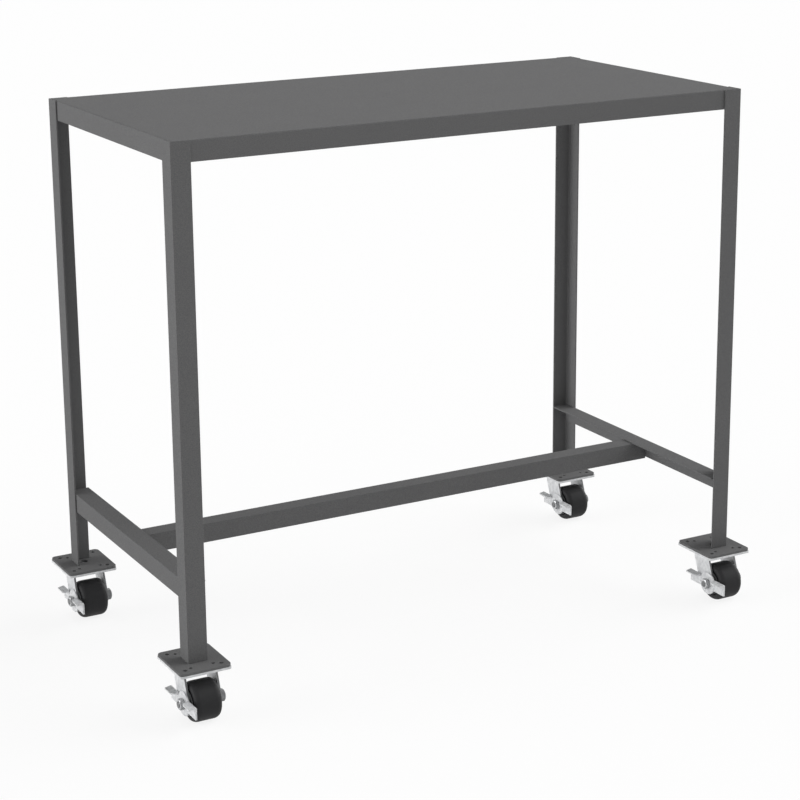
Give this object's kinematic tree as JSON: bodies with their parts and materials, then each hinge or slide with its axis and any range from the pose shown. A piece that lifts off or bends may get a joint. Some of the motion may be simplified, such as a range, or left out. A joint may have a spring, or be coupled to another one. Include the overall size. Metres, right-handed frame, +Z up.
{
  "type": "mobile workbench",
  "caption": "Tall open-frame steel workbench with a flat sheet top, angle legs, low stringers and swivel casters with side brakes.",
  "frame": {"origin": "on the floor, under the middle of the whole bench with its casters trailing forward as in the picture", "axes": "+X along the bench to the right, -Y to the front, +Z up"},
  "size_m": [1.2826, 0.7146, 1.0668],
  "materials": {
    "grey_powder_coat": "fine textured powder coat, dark grey",
    "zinc_plate": "bright zinc plate",
    "ball_steel": "polished, greased",
    "wheel_black": "smooth moulded, solid"
  },
  "bodies": {
    "frame": {"deck_pan": "grey_powder_coat", "end_stringer_left": "grey_powder_coat", "end_stringer_right": "grey_powder_coat", "centre_stringer": "grey_powder_coat", "leg_front_left": "grey_powder_coat", "leg_front_right": "grey_powder_coat", "leg_back_left": "grey_powder_coat", "leg_back_right": "grey_powder_coat", "foot_pad_front_left": "grey_powder_coat", "foot_pad_front_right": "grey_powder_coat", "foot_pad_back_left": "grey_powder_coat", "foot_pad_back_right": "grey_powder_coat", "caster_plate_front_left": "zinc_plate", "kingpin_front_left": "zinc_plate", "kingpin_nut_front_left": "zinc_plate", "caster_plate_front_right": "zinc_plate", "kingpin_front_right": "zinc_plate", "kingpin_nut_front_right": "zinc_plate", "caster_plate_back_left": "zinc_plate", "kingpin_back_left": "zinc_plate", "kingpin_nut_back_left": "zinc_plate", "caster_plate_back_right": "zinc_plate", "kingpin_back_right": "zinc_plate", "kingpin_nut_back_right": "zinc_plate"},
    "swivel_front_left": {"fork_front_left": "zinc_plate", "swivel_balls_front_left": "ball_steel", "axle_bolt_front_left": "zinc_plate", "axle_nut_front_left": "zinc_plate", "axle_sleeve_front_left": "zinc_plate", "friction_disc_front_left": "zinc_plate"},
    "rolling_front_left": {"wheel_front_left": "wheel_black"},
    "brake_front_left": {"brake_lever_front_left": "zinc_plate"},
    "swivel_front_right": {"fork_front_right": "zinc_plate", "swivel_balls_front_right": "ball_steel", "axle_bolt_front_right": "zinc_plate", "axle_nut_front_right": "zinc_plate", "axle_sleeve_front_right": "zinc_plate", "friction_disc_front_right": "zinc_plate"},
    "rolling_front_right": {"wheel_front_right": "wheel_black"},
    "brake_front_right": {"brake_lever_front_right": "zinc_plate"},
    "swivel_back_left": {"fork_back_left": "zinc_plate", "swivel_balls_back_left": "ball_steel", "axle_bolt_back_left": "zinc_plate", "axle_nut_back_left": "zinc_plate", "axle_sleeve_back_left": "zinc_plate", "friction_disc_back_left": "zinc_plate"},
    "rolling_back_left": {"wheel_back_left": "wheel_black"},
    "brake_back_left": {"brake_lever_back_left": "zinc_plate"},
    "swivel_back_right": {"fork_back_right": "zinc_plate", "swivel_balls_back_right": "ball_steel", "axle_bolt_back_right": "zinc_plate", "axle_nut_back_right": "zinc_plate", "axle_sleeve_back_right": "zinc_plate", "friction_disc_back_right": "zinc_plate"},
    "rolling_back_right": {"wheel_back_right": "wheel_black"},
    "brake_back_right": {"brake_lever_back_right": "zinc_plate"}
  },
  "joints": [
    {"name": "caster_swivel_front_left", "type": "hinge", "parent": "frame", "child": "swivel_front_left", "pos_m": [-0.59055, -0.27132, 0.0899], "axis": [0, 0, 1], "continuous": true},
    {"name": "wheel_spin_front_left", "type": "hinge", "parent": "swivel_front_left", "child": "rolling_front_left", "pos_m": [-0.59055, -0.30133, 0.0381], "axis": [1, 0, 0], "continuous": true},
    {"name": "brake_tilt_front_left", "type": "hinge", "parent": "swivel_front_left", "child": "brake_front_left", "pos_m": [-0.59055, -0.30133, 0.0381], "axis": [1, 0, 0], "range_deg": [-12, 12]},
    {"name": "caster_swivel_front_right", "type": "hinge", "parent": "frame", "child": "swivel_front_right", "pos_m": [0.59055, -0.27132, 0.0899], "axis": [0, 0, 1], "continuous": true},
    {"name": "wheel_spin_front_right", "type": "hinge", "parent": "swivel_front_right", "child": "rolling_front_right", "pos_m": [0.59055, -0.30133, 0.0381], "axis": [1, 0, 0], "continuous": true},
    {"name": "brake_tilt_front_right", "type": "hinge", "parent": "swivel_front_right", "child": "brake_front_right", "pos_m": [0.59055, -0.30133, 0.0381], "axis": [1, 0, 0], "range_deg": [-12, 12]},
    {"name": "caster_swivel_back_left", "type": "hinge", "parent": "frame", "child": "swivel_back_left", "pos_m": [-0.59055, 0.30018, 0.0899], "axis": [0, 0, 1], "continuous": true},
    {"name": "wheel_spin_back_left", "type": "hinge", "parent": "swivel_back_left", "child": "rolling_back_left", "pos_m": [-0.59055, 0.27017, 0.0381], "axis": [1, 0, 0], "continuous": true},
    {"name": "brake_tilt_back_left", "type": "hinge", "parent": "swivel_back_left", "child": "brake_back_left", "pos_m": [-0.59055, 0.27017, 0.0381], "axis": [1, 0, 0], "range_deg": [-12, 12]},
    {"name": "caster_swivel_back_right", "type": "hinge", "parent": "frame", "child": "swivel_back_right", "pos_m": [0.59055, 0.30018, 0.0899], "axis": [0, 0, 1], "continuous": true},
    {"name": "wheel_spin_back_right", "type": "hinge", "parent": "swivel_back_right", "child": "rolling_back_right", "pos_m": [0.59055, 0.27017, 0.0381], "axis": [1, 0, 0], "continuous": true},
    {"name": "brake_tilt_back_right", "type": "hinge", "parent": "swivel_back_right", "child": "brake_back_right", "pos_m": [0.59055, 0.27017, 0.0381], "axis": [1, 0, 0], "range_deg": [-12, 12]}
  ]
}
